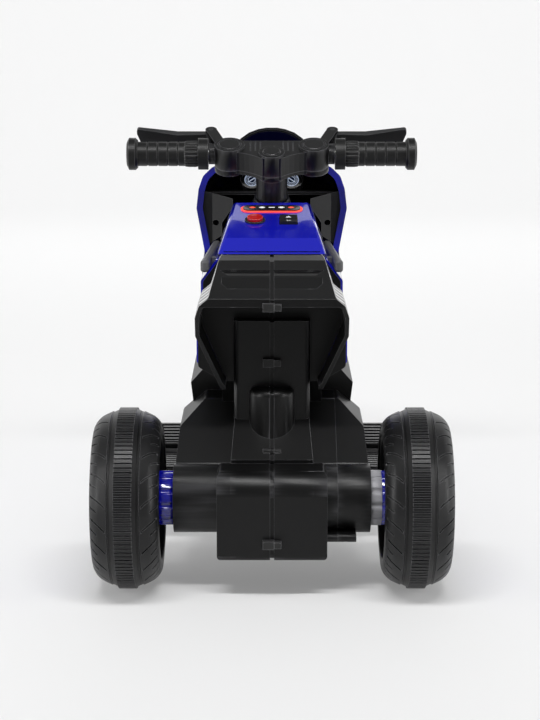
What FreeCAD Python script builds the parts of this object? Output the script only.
"""Three-wheeled ride-on electric motorbike for a small child, as a parametric document.

Millimetres. +X is the rider's right, +Y is forward, +Z is up. The origin is on the floor, under the middle
of the part's box. Every driving size is a cell of the Sizes sheet.
"""
import FreeCAD
import Part

import math
import os

import Sketcher
from FreeCAD import Placement, Rotation, Vector

# Driving sizes, in millimetres and degrees unless the name says count or share.
SIZES = {
    # whole bike
    "overall_length": 800,
    "cut_overrun": 5,
    "running_gap": 0.05,
    "moving_gap": 0.5,
    "seat_gap": 0.3,
    # rear wheels
    "rear_wheel_diameter": 220,
    "rear_wheel_width": 82,
    "rear_track": 348,
    "shoulder_radius": 24,
    "shoulder_drop": 14,
    "tread_width": 21,
    "tread_rib_height": 2,
    "tread_rib_count": 120,
    "tread_rib_share": 0.62,
    "rim_wall": 33,
    "web_thickness": 6,
    "wheel_boss_diameter": 60,
    "wheel_rib_count": 10,
    "wheel_rib_thickness": 3,
    "wheel_rib_setback": 16,
    # front wheel
    "front_wheel_diameter": 220,
    "front_wheel_width": 64,
    # wheel trims and hubs
    "trim_setback": 16,
    "trim_thickness": 3,
    "trim_spoke_count": 5,
    "trim_slot_share": 0.56,
    "trim_cap_diameter": 62,
    "trim_cap_reach": 5,
    "hub_drum_diameter": 66,
    "hub_flute_count": 12,
    "hub_flute_diameter": 10,
    "coupler_width": 13,
    "coupler_diameter": 67,
    "coupler_sleeve_diameter": 24,
    "coupler_sleeve_length": 59,
    # axles
    "axle_diameter": 10,
    "axle_nut_diameter": 20,
    "axle_nut_thickness": 8,
    "axle_end": 3,
    # moulded body
    "wall": 3,
    "bead_width": 5,
    "bead_depth": 1.2,
    "strip_recess": 2,
    "corner_radius": 6,
    "drum_half_width": 66,
    "drum_height": 106,
    "drum_depth": 112,
    "drum_below_axle": 63,
    "drum_reach": 56,
    "drum_round": 26,
    "side_drum_diameter": 84,
    "side_drum_half_width": 119,
    "deck_half_width": 117,
    "deck_shoulder_half_width": 114,
    "deck_top_half_width": 84,
    "deck_top_height": 212,
    "deck_shoulder_height": 186,
    "deck_rear_height": 152,
    "deck_floor_height": 72,
    "deck_slope_length": 95,
    "deck_length": 150,
    "panel_raise": 4.5,
    "panel_half_width_front": 44,
    "panel_half_width_rear": 50,
    "column_half_width": 47,
    "column_setback": 58,
    "column_base_height": 190,
    "column_top_height": 318,
    "dome_half_width": 28,
    "dome_top_height": 236,
    "dome_round": 9,
    "tail_top_height": 395,
    "tail_edge_height": 358,
    "tail_edge_overhang": 14,
    "tail_slope_length": 80,
    "tail_top_length": 26,
    "tail_top_half_width": 64,
    "tail_edge_half_width": 76,
    "tail_wide_half_width": 92,
    "tail_wide_height": 334,
    "tail_shoulder_half_width": 87,
    "tail_shoulder_height": 349,
    "tail_side_height": 310,
    "tail_foot_reach": 30,
    "tail_rim": 5,
    "mid_low_height": 256,
    "waist_half_width": 62,
    "waist_height": 238,
    "tail_lip": 10,
    "tail_pocket_depth": 2,
    "column_reach": 20,
    "tank_deck_half_width": 64,
    "seat_setback": 12,
    "seat_height": 302,
    "tank_deck_height": 372,
    "mid_floor_height": 92,
    "mid_front_setback": 140,
    "flank_half_width": 104,
    "flank_top_half_width": 88,
    "flank_height": 222,
    "flank_top_height": 240,
    "flank_nose_height": 170,
    "flank_fin_count": 5,
    "flank_fin_pitch": 30,
    "flank_fin_width": 12,
    "flank_floor_height": 84,
    "flank_rear_reach": 148,
    "flank_front_reach": 96,
    # seat, tank and dash
    "seat_thickness": 10,
    "seat_half_width": 70,
    "seat_crown": 6,
    "tank_half_width": 72,
    "tank_top_half_width": 53,
    "tank_rear_height": 390,
    "tank_front_height": 422,
    "tank_lip_length": 26,
    "tank_length": 152,
    "tank_front_setback": 38,
    "tank_wall": 3,
    "tank_round": 6,
    "display_half_width": 40,
    "display_half_depth": 9,
    "display_setback": 16,
    "display_thickness": 3,
    "light_ring_width": 3,
    "light_ring_raise": 1.5,
    "start_button_diameter": 22,
    "start_bezel_diameter": 28,
    "start_button_raise": 4,
    "button_travel": 2.5,
    "start_button_offset": 23,
    "dash_row_setback": 66,
    "switch_width": 24,
    "switch_length": 26,
    "switch_raise": 4,
    "switch_tilt": 9,
    "switch_pin_diameter": 1.8,
    "switch_pin_reach": 1.2,
    # side fairings and rails
    "fairing_thickness": 3,
    "fairing_top_height": 366,
    "fairing_low_height": 249,
    "rail_width": 11,
    "rail_height": 16,
    "rail_rear_reach": 46,
    "rail_front_setback": 4,
    "rail_top_height": 364,
    # front cowl
    "cowl_half_width": 109,
    "cowl_rear_setback": 104,
    "cowl_top_height": 478,
    "cowl_bottom_height": 296,
    "cowl_cheek_height": 345,
    "cowl_chin_height": 318,
    "cowl_wide_height": 405,
    "cowl_nose_lead": 102,
    "cowl_nose_height": 330,
    "cowl_nose_half_width": 30,
    "cowl_wall": 3,
    "cowl_rim_width": 9,
    "cowl_round": 16,
    "screen_top_height": 519,
    "screen_half_width": 66,
    "screen_length": 96,
    "screen_setback": 27,
    "screen_arch": 70,
    "screen_front_height": 436,
    "screen_thickness": 3,
    "headlight_half_width": 34,
    "headlight_height": 26,
    "headlight_offset": 50,
    "headlight_lead": 6,
    "liner_thickness": 4,
    "liner_slot_height": 26,
    "liner_top_height": 432,
    "liner_inner": 56,
    "liner_slope": 12,
    "liner_brow": 12,
    "liner_knee": 72,
    "liner_knee_height": 384,
    "liner_low_height": 340,
    "liner_bend": 86,
    "liner_swing": 12,
    "dial_diameter": 22,
    "dial_pod_diameter": 34,
    "dial_pod_depth": 22,
    "dial_recess": 6,
    "dial_offset": 29,
    "dial_height": 446,
    "dial_setback": 76,
    "dial_tilt": 55,
    # footrests and pedal
    "footrest_inner": 96,
    "footrest_outer": 168,
    "footrest_height": 104,
    "footrest_thickness": 14,
    "footrest_rear_reach": 140,
    "footrest_length": 190,
    "footrest_rib_count": 8,
    "footrest_rib_height": 2.5,
    "footrest_rib_width": 4,
    "pedal_length": 86,
    "pedal_thickness": 6,
    "pedal_cheek": 3,
    "pedal_knuckle_diameter": 11,
    "pedal_pin_height": 8,
    "pedal_slope": 4,
    "pedal_pin_diameter": 5,
    "pedal_rib_count": 6,
    # steering
    "rake": 22,
    "fork_offset": 20,
    "stem_diameter": 24,
    "stem_wall": 2,
    "column_diameter": 44,
    "collar_diameter": 54,
    "collar_height": 12,
    "collar_level": 338,
    "head_tube_diameter": 46,
    "head_tube_foot": 176,
    "bush_flange": 3,
    "bush_wall": 3,
    "bush_length": 16,
    "fork_leg_width": 22,
    "fork_leg_depth": 34,
    "fork_gap": 8,
    "fork_crown_height": 26,
    "mudguard_gap": 8,
    "mudguard_thickness": 3,
    "mudguard_half_width": 37,
    "mudguard_sweep": 128,
    "mudguard_lean": -30,
    "bar_level": 414,
    "bar_reach": 8,
    "bar_diameter": 16,
    "bar_half_width": 190,
    "pod_diameter": 42,
    "pod_offset": 59,
    "pod_top": 433,
    "pod_bottom": 393,
    "cover_half_width": 88,
    "boss_diameter": 36,
    "boss_setback": 22,
    "bridge_half_depth": 17,
    "pod_button_diameter": 30,
    "pod_ring_width": 1.6,
    "lever_cheek": 5,
    "pod_button_raise": 0.8,
    "pod_button_height": 7,
    "pod_button_travel": 2,
    "center_cap_diameter": 25,
    "center_cap_raise": 1.5,
    "grip_diameter": 34,
    "grip_collar_diameter": 44,
    "grip_collar_width": 14,
    "grip_end_diameter": 45,
    "grip_end_width": 15,
    "grip_inner": 89,
    "grip_outer": 203,
    "grip_groove": 1.2,
    "grip_ring_count": 5,
    "lever_pivot_offset": 86,
    "lever_reach": 42,
    "lever_length": 105,
    "lever_height": 24,
    "lever_thickness": 9,
    "lever_rise": 8,
    "lever_sweep": 7,
    "lever_knuckle_diameter": 16,
    "lever_pin_diameter": 5,
    # drive and electrics
    "motor_diameter": 38,
    "motor_length": 58,
    "motor_offset": 34,
    "motor_drop": 30,
    "motor_shaft_diameter": 3.2,
    "gearbox_length": 82,
    "gearbox_height": 64,
    "gearbox_width": 46,
    "battery_setback": 50,
    "battery_length": 90,
    "battery_width": 70,
    "battery_height": 100,
    "board_length": 60,
    "board_width": 44,
    "board_thickness": 12,
    # screw lugs along the seam
    "lug_width": 22,
    "lug_height": 10,
    "lug_depth": 8,
    "lug_small_share": 0.45,
    "screw_diameter": 3.5,
}


doc = FreeCAD.newDocument("RideOnMotorbike")
sheet = doc.addObject("Spreadsheet::Sheet", "Sizes")
for row, (alias, number) in enumerate(SIZES.items(), start=1):
    sheet.set(f"A{row}", alias)
    sheet.set(f"B{row}", str(number))
    sheet.setAlias(f"B{row}", alias)
doc.recompute()


class Length:
    """A size with its value and the expression that gives it, so that one sum serves both."""

    def __init__(self, value, text):
        self.value = float(value)
        self.text = text

    def _join(self, other, sign, result, swap=False):
        mine, theirs = self.text, other.text if isinstance(other, Length) else repr(float(other))
        first, second = (theirs, mine) if swap else (mine, theirs)
        return Length(result, f"({first} {sign} {second})")

    def __add__(self, other):
        return self._join(other, "+", self.value + float(other))

    def __radd__(self, other):
        return self._join(other, "+", float(other) + self.value, swap=True)

    def __sub__(self, other):
        return self._join(other, "-", self.value - float(other))

    def __rsub__(self, other):
        return self._join(other, "-", float(other) - self.value, swap=True)

    def __mul__(self, other):
        return self._join(other, "*", self.value * float(other))

    __rmul__ = __mul__

    def __truediv__(self, other):
        return self._join(other, "/", self.value / float(other))

    def __neg__(self):
        return Length(-self.value, f"(-{self.text})")

    def __float__(self):
        return self.value


class Sheet:
    """Reads a driving size by its name."""

    def __getattr__(self, alias):
        return Length(sheet.get(alias), f"Sizes.{alias}")


size = Sheet()
nodes = {}


def bind(thing, **properties):
    """Binds each property of a document object to a Length; two underscores stand for a dot."""
    for name, length in properties.items():
        if isinstance(length, Length):
            thing.setExpression(name.replace("__", "."), length.text)
        elif length:
            raise ValueError(f"{thing.Label}.{name} is a bare number")
    return thing


AXIS_TURN = {
    "X": Rotation(Vector(0, 1, 0), 90),
    "-X": Rotation(Vector(0, 1, 0), -90),
    "Y": Rotation(Vector(1, 0, 0), -90),
    "Z": Rotation(),
}


def at(thing, x=0, y=0, z=0, axis="Z"):
    """Turns a piece made along +Z onto an axis and binds its place."""
    thing.Placement = Placement(Vector(float(x), float(y), float(z)), AXIS_TURN[axis])
    return bind(thing, Placement__Base__x=x, Placement__Base__y=y, Placement__Base__z=z)


def rod(name, diameter, length, x=0, y=0, z=0, axis="Z"):
    """A round bar that starts at a point and runs along an axis."""
    bar = doc.addObject("Part::Cylinder", name)
    bind(bar, Radius=diameter / 2, Height=length)
    return at(bar, x, y, z, axis)


def block(name, width, depth, height, x=0, y=0, z=0):
    """A box from its low corner."""
    box = doc.addObject("Part::Box", name)
    bind(box, Length=width, Width=depth, Height=height)
    return at(box, x, y, z)


def cut(name, base, *tools):
    """base with the tools taken away."""
    result = doc.addObject("Part::Cut", name)
    result.Base = base
    result.Tool = tools[0] if len(tools) == 1 else fuse(f"{name}_tools", *tools)
    return result


def fuse(name, *pieces):
    """Pieces as one solid, or as a group of separate solids where they lie apart."""
    result = doc.addObject("Part::MultiFuse", name)
    result.Shapes = list(pieces)
    return result


def moulded(name, shape):
    """A moulding whose form is worked out with Part's own functions."""
    result = doc.addObject("Part::Feature", name)
    result.Shape = shape
    return result


def node(name, piece):
    """Names a finished sub-part."""
    piece.Label = name
    nodes[name] = piece
    return piece


def turned(name, outline):
    """A body of revolution about +Z from (radius, height) corners, each bound to the sheet."""
    body = doc.addObject("PartDesign::Body", name)
    sketch = body.newObject("Sketcher::SketchObject", f"{name}_profile")
    plane = [face for face in body.Origin.OriginFeatures if face.Role == "XZ_Plane"][0]
    sketch.AttachmentSupport = [(plane, "")]
    sketch.MapMode = "FlatFace"
    corners = [Vector(float(r), float(h), 0) for r, h in outline]
    count = len(corners)
    for i in range(count):
        sketch.addGeometry(Part.LineSegment(corners[i], corners[(i + 1) % count]))
    for i in range(count):
        sketch.addConstraint(Sketcher.Constraint("Coincident", i, 2, (i + 1) % count, 1))
    for i, corner in enumerate(outline):
        for kind, length in zip(("DistanceX", "DistanceY"), corner):
            if isinstance(length, Length):
                place = sketch.addConstraint(Sketcher.Constraint(kind, -1, 1, i, 1, length.value))
                sketch.setExpression(f"Constraints[{place}]", length.text)
            else:
                on_axis = -2 if kind == "DistanceX" else -1
                sketch.addConstraint(Sketcher.Constraint("PointOnObject", i, 1, on_axis))
    spin = body.newObject("PartDesign::Revolution", f"{name}_turning")
    spin.Profile = sketch
    spin.ReferenceAxis = (sketch, ["V_Axis"])
    doc.recompute()
    return body


def rounded(body, radius, *places):
    """Rounds the turned edges that pass through the given (radius, height) corners."""
    base = body.Tip
    names = []
    for number, edge in enumerate(base.Shape.Edges, start=1):
        point = edge.Vertexes[0].Point
        here = (math.hypot(point.x, point.y), point.z)
        if any(math.dist(here, [float(v) for v in place]) < SAME_POINT for place in places) and edge.Closed:
            names.append(f"Edge{number}")
    round_over = body.newObject("PartDesign::Fillet", f"{body.Name}_round")
    round_over.Base = (base, names)
    bind(round_over, Radius=radius)
    doc.recompute()
    return body


SAME_POINT = 1e-3


def inset_outline(points, inset):
    """A closed outline with every side moved inwards, or outwards for a negative inset."""
    points = [(float(a), float(b)) for a, b in points]
    count = len(points)
    area = sum(points[i - 1][0] * points[i][1] - points[i][0] * points[i - 1][1] for i in range(count))
    if area < 0:
        points = points[::-1]
    sides = []
    for i in range(count):
        (a0, b0), (a1, b1) = points[i], points[(i + 1) % count]
        run = math.hypot(a1 - a0, b1 - b0)
        across = (-(b1 - b0) / run, (a1 - a0) / run)
        start = (a0 + across[0] * inset, b0 + across[1] * inset)
        sides.append((start, (a1 - a0, b1 - b0)))
    moved = []
    for i in range(count):
        (p, d), (q, e) = sides[i - 1], sides[i]
        turn = d[0] * e[1] - d[1] * e[0]
        step = ((q[0] - p[0]) * e[1] - (q[1] - p[1]) * e[0]) / turn
        moved.append((p[0] + d[0] * step, p[1] + d[1] * step))
    return moved


TO_SPACE = {
    "YZ": lambda a, b, c: Vector(c, a, b),
    "XZ": lambda a, b, c: Vector(a, c, b),
    "XY": lambda a, b, c: Vector(a, b, c),
}


def wire_of(points, plane, level, radius=0.0):
    """A closed wire through the corners, each rounded by the radius or by a radius of its own."""
    count = len(points)
    radii = radius if isinstance(radius, (list, tuple)) else [radius] * count
    ends, edges = [], []
    for i in range(count):
        here, before, after = points[i], points[i - 1], points[(i + 1) % count]
        back = Vector(before[0] - here[0], before[1] - here[1], 0)
        ahead = Vector(after[0] - here[0], after[1] - here[1], 0)
        half = back.getAngle(ahead) / 2
        room = CORNER_ROOM_SHARE * min(back.Length, ahead.Length) * math.tan(half)
        bend = min(float(radii[i]), room)
        corner = Vector(here[0], here[1], 0)
        if bend < SAME_POINT:
            ends.append((corner, None, corner))
            continue
        back.normalize()
        ahead.normalize()
        reach = bend / math.tan(half)
        middle = (back + ahead).normalize() * (bend / math.sin(half) - bend)
        ends.append((corner + back * reach, corner + middle, corner + ahead * reach))
    space = TO_SPACE[plane]
    lift = [[point and space(point.x, point.y, level) for point in end] for end in ends]
    for i in range(count):
        start, middle, stop = lift[i]
        if middle is not None:
            edges.append(Part.Arc(start, middle, stop).toShape())
        following = lift[(i + 1) % count][0]
        if (following - stop).Length > SAME_POINT:
            edges.append(Part.LineSegment(stop, following).toShape())
    return Part.Wire(edges)


CORNER_ROOM_SHARE = 0.48
THROUGH = {"YZ": Vector(1, 0, 0), "XZ": Vector(0, 1, 0), "XY": Vector(0, 0, 1)}


def prism(points, plane, low, high, inset=0.0, radius=0.0):
    """An outline drawn in a plane, made solid between two levels, with its skin moved in by the inset."""
    inset = float(inset)
    corners = inset_outline(points, inset)
    low, high = float(low) + inset, float(high) - inset
    face = Part.Face(wire_of(corners, plane, low, radius))
    return face.extrude(THROUGH[plane] * (high - low))


def mirrored_outline(half):
    """A rear-view outline from its right half, listed from the top downwards."""
    half = [(float(x), float(z)) for x, z in half]
    return half + [(-x, z) for x, z in reversed(half)]


def skin(sections, inset=0.0, ruled=True):
    """A loft through outlines drawn across the bike, each given as (level along Y, corners, radius)."""
    wires = [
        wire_of(inset_outline(points, float(inset)), "XZ", float(level),
                radius) for level, points, radius in sections
    ]
    return Part.makeLoft(wires, True, ruled)


def half_space(axis, low, high):
    """A slab of all the room between two levels of one axis."""
    reach = float(size.overall_length)
    corner, span = [-reach, -reach, -reach], [reach * 2] * 3
    index = "XYZ".index(axis)
    corner[index], span[index] = float(low), float(high) - float(low)
    return Part.makeBox(*span, Vector(*corner))


FAR = size.overall_length

# Places that several pieces share.
rear_axle_y = size.rear_wheel_diameter / 2 - size.overall_length / 2
rear_axle_z = size.rear_wheel_diameter / 2
front_axle_y = size.overall_length / 2 - size.front_wheel_diameter / 2
front_axle_z = size.front_wheel_diameter / 2
axle_bore = size.axle_diameter + size.running_gap * 2
mid_front_y = front_axle_y - size.mid_front_setback
rail_front_y = mid_front_y - size.rail_front_setback
tank_front_y = mid_front_y - size.tank_front_setback
tank_rear_y = tank_front_y - size.tank_length
seat_front_y = tank_rear_y + size.corner_radius
cowl_rear_y = front_axle_y - size.cowl_rear_setback
cowl_nose_y = front_axle_y + size.cowl_nose_lead
dial_y = front_axle_y - size.dial_setback
headlight_rear_y = front_axle_y + size.headlight_lead


# Wheels: one black moulding each, with a ribbed tread band, a dished web and radial ribs inside the dish.
def tread_band(name, wheel_diameter):
    """A ring with transverse ribs all the way round, centred on the wheel's middle plane."""
    crest = float(wheel_diameter) / 2
    root = crest - float(size.tread_rib_height)
    count = int(float(size.tread_rib_count))
    pitch = 2 * math.pi / count
    flat = pitch * float(size.tread_rib_share)
    corners = []
    for i in range(count):
        for radius, angle in ((root, -flat), (crest, -flat), (crest, flat), (root, flat)):
            turn = i * pitch + angle / 2
            corners.append(Vector(radius * math.cos(turn), radius * math.sin(turn), 0))
    toothed = Part.Face(Part.makePolygon(corners + corners[:1]))
    width = float(size.tread_width)
    ring = toothed.extrude(Vector(0, 0, width))
    core = Part.makeCylinder(root - float(size.tread_rib_height), width)
    band = ring.cut(core)
    band.translate(Vector(0, 0, -width / 2))
    return moulded(name, band)


def wheel(name, wheel_diameter, wheel_width, in_side):
    """The black wheel. in_side is +1 where the open dish faces +Z and -1 where it faces -Z."""
    crown = wheel_diameter / 2 - size.tread_rib_height
    rim = crown - size.rim_wall
    half = wheel_width / 2
    web = size.web_thickness / 2
    boss = size.wheel_boss_diameter / 2
    bore = axle_bore / 2
    inner_end = half - size.wheel_rib_setback
    band = size.tread_width / 2
    shoulder = crown - size.shoulder_drop
    outline = [
        (bore, -inner_end), (boss, -inner_end), (boss, -web), (rim, -web), (rim, -half), (shoulder, -half),
        (crown, -band), (crown, band), (shoulder, half), (rim, half), (rim, web), (boss, web),
        (boss, inner_end), (bore, inner_end),
    ]
    body = turned(f"{name}_moulding", outline)
    rounded(body, size.shoulder_radius, (shoulder, half), (shoulder, -half))
    rounded(body, size.wheel_rib_thickness, (rim, half), (rim, -half))
    rib = block(
        f"{name}_rib", rim - boss + size.wheel_rib_thickness * 2, size.wheel_rib_thickness, inner_end - web,
        boss - size.wheel_rib_thickness, -size.wheel_rib_thickness / 2, web if in_side > 0 else -inner_end,
    )
    doc.recompute()
    ribs = []
    for i in range(int(float(size.wheel_rib_count))):
        copy = rib.Shape.copy()
        copy.rotate(Vector(0, 0, 0), Vector(0, 0, 1), 360 * i / float(size.wheel_rib_count))
        ribs.append(copy)
    spokes = moulded(f"{name}_ribs", Part.makeCompound(ribs))
    return fuse(f"{name}_whole", body, spokes, tread_band(f"{name}_tread", wheel_diameter))


def slotted_disc(name, disc, inner, outer, low, high):
    """A turned disc with equal openings round it, which leave its spokes."""
    count = int(float(size.trim_spoke_count))
    sweep = 360 / count * float(size.trim_slot_share)
    openings = []
    for i in range(count):
        ring = Part.makeCylinder(float(outer), float(high - low), Vector(0, 0, float(low)), Vector(0, 0, 1),
                                 sweep)
        ring = ring.cut(Part.makeCylinder(float(inner), float(high - low), Vector(0, 0, float(low))))
        ring.rotate(Vector(0, 0, 0), Vector(0, 0, 1), 360 * i / count)
        openings.append(ring)
    return cut(name, disc, moulded(f"{name}_openings", Part.makeCompound(openings)))


def trim_sizes(wheel_diameter, wheel_width):
    """Seat height of a trim above the wheel's middle, and the radius that it fills."""
    seat = wheel_width / 2 - size.trim_setback
    radius = wheel_diameter / 2 - size.tread_rib_height - size.rim_wall - size.seat_gap
    return seat, radius


def capped_trim(name):
    """The blue outer cover of a rear wheel, with a domed cap over the axle nut."""
    seat, radius = trim_sizes(size.rear_wheel_diameter, size.rear_wheel_width)
    wall = size.trim_thickness
    cap = size.trim_cap_diameter / 2
    top = size.rear_wheel_width / 2 + size.trim_cap_reach
    outline = [
        (0, top), (cap - size.trim_cap_reach, top), (cap, top - size.trim_cap_reach), (cap, seat + wall),
        (radius, seat + wall), (radius, seat), (cap - wall, seat),
        (cap - wall, top - size.trim_cap_reach - wall),
        (0, top - size.trim_cap_reach - wall),
    ]
    body = turned(f"{name}_turning", outline)
    rounded(body, size.trim_cap_reach, (cap - size.trim_cap_reach, top))
    edge = size.trim_thickness * 2
    return slotted_disc(f"{name}_disc", body, cap + edge, radius - edge, seat - wall, seat + wall * 2)


def fluted(name, body, diameter, low, high):
    """Long grooves round a drum, as on a moulded drive hub."""
    count = int(float(size.hub_flute_count))
    flute = float(size.hub_flute_diameter) / 2
    ring = float(diameter) / 2 + flute * FLUTE_LIFT_SHARE
    cutters = []
    for i in range(count):
        turn = 2 * math.pi * i / count
        foot = Vector(ring * math.cos(turn), ring * math.sin(turn), float(low))
        cutters.append(Part.makeCylinder(flute, float(high - low), foot))
    return cut(name, body, moulded(f"{name}_flutes", Part.makeCompound(cutters)))


FLUTE_LIFT_SHARE = 0.62
hub_start = size.rear_wheel_width / 2 - size.wheel_rib_setback
hub_stop = size.rear_track / 2 - size.side_drum_half_width - size.moving_gap


def hub(name, stop):
    """The blue fluted drum on the inner side of a rear wheel."""
    outer = size.hub_drum_diameter / 2
    bore = axle_bore / 2
    body = turned(f"{name}_turning", [(bore, hub_start), (outer, hub_start), (outer, stop), (bore, stop)])
    return fluted(f"{name}_drum", body, size.hub_drum_diameter, hub_start - size.cut_overrun,
                  stop + size.cut_overrun)


def coupler():
    """The grey drive dog between gearbox and right hub, with a sleeve that runs into the gearbox."""
    outer = size.coupler_diameter / 2
    sleeve = size.coupler_sleeve_diameter / 2
    bore = axle_bore / 2
    start = hub_stop - size.coupler_width
    reach = hub_stop + size.coupler_sleeve_length
    outline = [(bore, start), (outer, start), (outer, hub_stop), (sleeve, hub_stop), (sleeve, reach),
               (bore, reach)]
    body = turned("coupler_turning", outline)
    return fluted("coupler_drum", body, size.coupler_diameter, start - size.cut_overrun,
                  hub_stop + size.cut_overrun)


def rear_wheels():
    half_track = size.rear_track / 2
    place = {"y": rear_axle_y, "z": rear_axle_z}
    for side, label in ((-1, "left"), (1, "right")):
        black = wheel(f"rear_{label}", size.rear_wheel_diameter, size.rear_wheel_width, -side)
        node(f"rear_wheel_{label}", at(black, half_track * side, axis="X", **place))
        trim = node(f"rear_trim_{label}", capped_trim(f"trim_{label}"))
        at(trim, half_track * side, axis="X" if side > 0 else "-X", **place)
        stop = hub_stop if side < 0 else hub_stop - size.coupler_width
        drum = node(f"rear_hub_{label}", hub(f"hub_{label}", stop))
        at(drum, half_track * side, axis="-X" if side > 0 else "X", **place)
    at(node("drive_coupler", coupler()), half_track, axis="-X", **place)


def rear_axle():
    end = size.rear_track / 2 + hub_start + size.moving_gap + size.axle_nut_thickness + size.axle_end
    axle = rod("rear_axle_bar", size.axle_diameter, end * 2, -end, rear_axle_y, rear_axle_z, "X")
    node("rear_axle", axle)
    nuts = []
    for side, axis in ((-1, "-X"), (1, "X")):
        start = (size.rear_track / 2 + hub_start + size.moving_gap) * side
        nut = nut_on_axle(f"rear_nut_{axis}", start, rear_axle_y, rear_axle_z, axis)
        nuts.append(nut)
    node("rear_axle_nuts", fuse("rear_nut_pair", *nuts))


def nut_on_axle(name, x, y, z, axis):
    """A round-cornered lock nut, threaded on the end of an axle."""
    outer = size.axle_nut_diameter / 2
    bore = axle_bore / 2
    thick = size.axle_nut_thickness
    chamfer = thick / 4
    outline = [(bore, 0), (outer, 0), (outer, thick - chamfer), (outer - chamfer, thick), (bore, thick)]
    return at(turned(name, outline), x, y, z, axis)


# Steering axis: raked back, passing behind the front axle by the fork's offset.
rake_angle = math.radians(float(size.rake))
STEER_UP = Vector(0, -math.sin(rake_angle), math.cos(rake_angle))
STEER_FOOT = Vector(
    0,
    float(front_axle_y) - float(size.fork_offset) * math.cos(rake_angle),
    float(front_axle_z) - float(size.fork_offset) * math.sin(rake_angle),
)
STEER = Placement(STEER_FOOT, Rotation(Vector(1, 0, 0), float(size.rake)))
bush_diameter = size.stem_diameter + size.bush_wall * 2


def along_stem(diameter, low, high):
    """A cylinder on the steering axis between two levels."""
    foot = STEER_FOOT + STEER_UP * float(low)
    return Part.makeCylinder(float(diameter) / 2, float(high - low), foot, STEER_UP)


# The moulded body: simple volumes, each with its skin moved in by an inset, fused into one form.
deck_rear_y = rear_axle_y
column_face_y = rear_axle_y + size.column_setback
tail_edge_y = rear_axle_y - size.tail_edge_overhang
tail_top_rear_y = tail_edge_y + size.tail_slope_length
tail_front_y = tail_top_rear_y + size.tail_top_length
seat_rear_y = tail_front_y + size.seat_setback
mid_rear_y = column_face_y + size.column_reach
MID_NOSE_SHARE = 0.8
MID_KEEL_SHARE = 0.62


def drum_volume(inset):
    rear = rear_axle_y - size.drum_reach
    front = rear + size.drum_depth
    low = rear_axle_z - size.drum_below_axle
    high = low + size.drum_height
    box = [(rear, low), (front, low), (front, high), (rear, high)]
    round_over = [size.corner_radius, size.corner_radius, size.corner_radius, size.drum_round]
    side = prism(box, "YZ", -size.drum_half_width, size.drum_half_width, inset, round_over)
    half = [(size.drum_half_width, high), (size.drum_half_width, low)]
    return side.common(prism(mirrored_outline(half), "XZ", rear, front, inset, size.corner_radius))


def side_drum_volume(inset):
    reach = float(size.side_drum_half_width) - inset
    foot = Vector(-reach, float(rear_axle_y), float(rear_axle_z))
    return Part.makeCylinder(float(size.side_drum_diameter) / 2 - inset, 2 * reach, foot, Vector(1, 0, 0))


def deck_volume(inset):
    front = deck_rear_y + size.deck_length
    side = [
        (deck_rear_y, size.deck_floor_height), (front, size.deck_floor_height),
        (front, size.deck_top_height),
        (deck_rear_y + size.deck_slope_length, size.deck_top_height), (deck_rear_y, size.deck_rear_height),
    ]
    half = [
        (size.deck_top_half_width, size.deck_top_height),
        (size.deck_shoulder_half_width, size.deck_shoulder_height),
        (size.deck_half_width, size.deck_rear_height), (size.deck_half_width, size.deck_floor_height),
    ]
    form = prism(side, "YZ", -size.deck_half_width, size.deck_half_width, inset, size.corner_radius)
    return form.common(prism(mirrored_outline(half), "XZ", deck_rear_y, front, inset, size.corner_radius))


def panel_volume(inset):
    """The raised panel down the middle of the deck, wider towards the rear."""
    rear, front = deck_rear_y, deck_rear_y + size.deck_slope_length
    outline = [
        (-size.panel_half_width_rear, rear), (size.panel_half_width_rear, rear),
        (size.panel_half_width_front, front), (-size.panel_half_width_front, front),
    ]
    cover = prism(outline, "XY", size.deck_floor_height, size.tail_top_height, inset)
    return deck_volume(inset - float(size.panel_raise)).common(cover)


def column_volume(inset):
    front = seat_rear_y
    outline = [
        (-size.column_half_width, column_face_y), (size.column_half_width, column_face_y),
        (size.column_half_width, front), (-size.column_half_width, front),
    ]
    return prism(outline, "XY", size.column_base_height, size.column_top_height, inset, size.corner_radius)


def dome_volume(inset):
    """The half-round bulge where the column meets the deck."""
    foot = Vector(0, float(column_face_y), float(size.deck_rear_height))
    height = float(size.dome_top_height - size.deck_rear_height) - inset
    round_bar = Part.makeCylinder(float(size.dome_half_width) - inset, height, foot)
    crown = [edge for edge in round_bar.Edges if edge.Closed and edge.CenterOfMass.z > foot.z + height / 2]
    return round_bar.makeFillet(float(size.dome_round) - inset, crown)


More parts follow.
